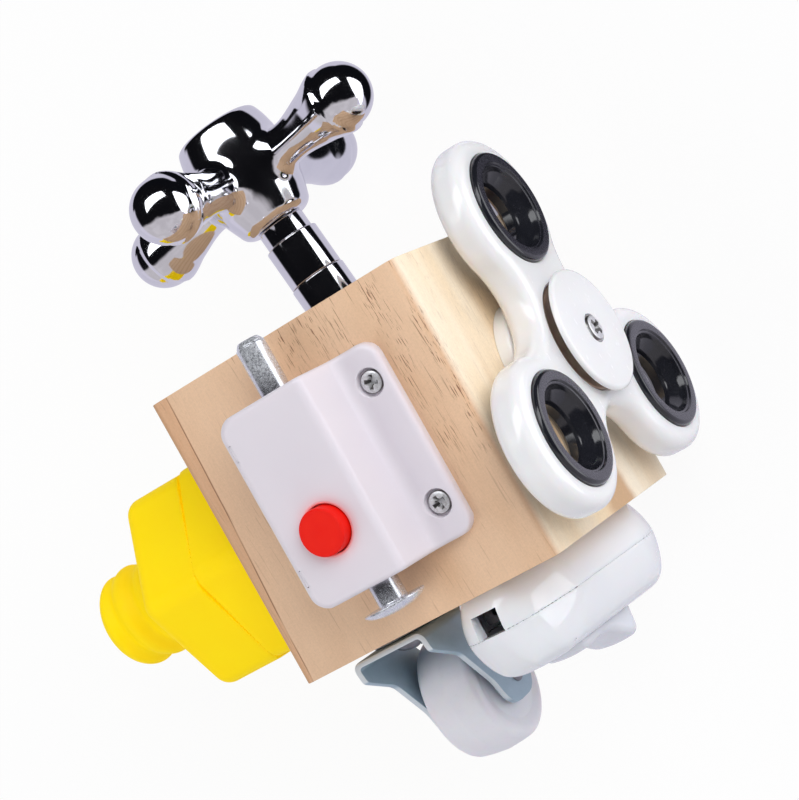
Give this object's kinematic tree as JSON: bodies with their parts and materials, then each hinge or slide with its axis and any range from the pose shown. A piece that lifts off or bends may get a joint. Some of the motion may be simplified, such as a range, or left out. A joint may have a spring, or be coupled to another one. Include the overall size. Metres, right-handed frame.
{
  "type": "activity cube",
  "caption": "Pine activity cube with a button latch, spinner, cross tap, toy bolt and nut, swivel caster and rocker switch on its faces.",
  "frame": {"origin": "centre of the bare rear face of the wooden cube, on which it stands", "axes": "+Z leaves the face with the latch, +X leaves the face with the spinner, +Y leaves the face with the tap"},
  "size_m": [0.1258, 0.1346, 0.0843],
  "materials": {
    "pine": "satin",
    "latch_plastic": "gloss",
    "back_plate_plastic": "matt",
    "bolt_steel": "zinc plated",
    "spring_steel": "bright",
    "button_red": "satin",
    "screw_steel": "nickel plated",
    "spinner_white": "gloss",
    "weight_black": "gloss black",
    "race_steel": "ground",
    "chrome": "mirror",
    "yellow_plastic": "satin",
    "zinc_sheet": "blue zinc",
    "wheel_nylon": "satin",
    "switch_white": "gloss",
    "contact_brass": "bright",
    "terminal_zinc": "plated"
  },
  "bodies": {
    "block": {"wood_block": "pine", "latch_case": "latch_plastic", "latch_back_plate": "back_plate_plastic", "latch_bolt_spring": "spring_steel", "latch_button_spring": "spring_steel", "latch_screws": "screw_steel", "spinner_inner_race": "race_steel", "spinner_front_cap": "spinner_white", "spinner_rear_cap": "spinner_white", "spinner_screw": "screw_steel", "tap_handle_screw": "screw_steel", "tap_stem_top": "chrome", "tap_stem_middle": "chrome", "tap_stem_base": "chrome", "tap_spindle": "spring_steel", "toy_bolt": "yellow_plastic", "toy_bolt_dowel": "spring_steel", "caster_washer": "zinc_sheet", "caster_screw": "screw_steel", "switch_base": "switch_white", "switch_cover": "switch_white", "switch_rocker_pin": "screw_steel", "switch_contacts": "contact_brass", "switch_terminals": "terminal_zinc", "switch_screws": "screw_steel"},
    "latch_bolt": {"latch_bolt": "bolt_steel", "latch_collar": "spring_steel"},
    "latch_button": {"latch_button": "button_red"},
    "spinner": {"spinner_body": "spinner_white", "spinner_weight_1": "weight_black", "spinner_weight_2": "weight_black", "spinner_weight_3": "weight_black", "spinner_outer_race": "race_steel", "spinner_balls": "race_steel"},
    "tap_handle": {"tap_handle": "chrome", "tap_plug": "chrome"},
    "toy_nut": {"toy_nut": "yellow_plastic"},
    "caster_fork": {"caster_fork": "zinc_sheet", "caster_axle": "zinc_sheet"},
    "caster_wheel": {"caster_wheel": "wheel_nylon"},
    "rocker": {"switch_rocker": "switch_white"}
  },
  "joints": [
    {"name": "bolt_slide", "type": "slide", "parent": "block", "child": "latch_bolt", "axis": [0, 1, 0], "range_m": [-0.01, 0], "stiffness_N_per_m": 150, "springref_m": 0.006, "deforming": ["latch_bolt_spring"]},
    {"name": "button_push", "type": "slide", "parent": "block", "child": "latch_button", "axis": [0, 0, 1], "range_m": [-0.002, 0], "stiffness_N_per_m": 400, "springref_m": 0.002, "deforming": ["latch_button_spring"]},
    {"name": "spinner_spin", "type": "hinge", "parent": "block", "child": "spinner", "pos_m": [0.03, 0.0019, 0.03], "axis": [1, 0, 0], "continuous": true},
    {"name": "tap_turn", "type": "hinge", "parent": "block", "child": "tap_handle", "pos_m": [-0.0003, 0.03, 0.03], "axis": [-0.1106, 0.9939, 0], "continuous": true},
    {"name": "nut_turn", "type": "hinge", "parent": "block", "child": "toy_nut", "pos_m": [-0.03, -0.0035, 0.03], "axis": [-1, 0, 0], "continuous": true},
    {"name": "caster_swivel", "type": "hinge", "parent": "block", "child": "caster_fork", "pos_m": [-0.0168, -0.03, 0.039], "axis": [0, 1, 0], "range_deg": [-32, 206]},
    {"name": "wheel_spin", "type": "hinge", "parent": "caster_fork", "child": "caster_wheel", "pos_m": [-0.0168, -0.0483, 0.0256], "axis": [1, 0, 0], "continuous": true},
    {"name": "rocker_tilt", "type": "hinge", "parent": "block", "child": "rocker", "pos_m": [0.0123, -0.0425, 0.0296], "axis": [0.9925, 0, 0.1219], "range_deg": [0, 24]}
  ]
}
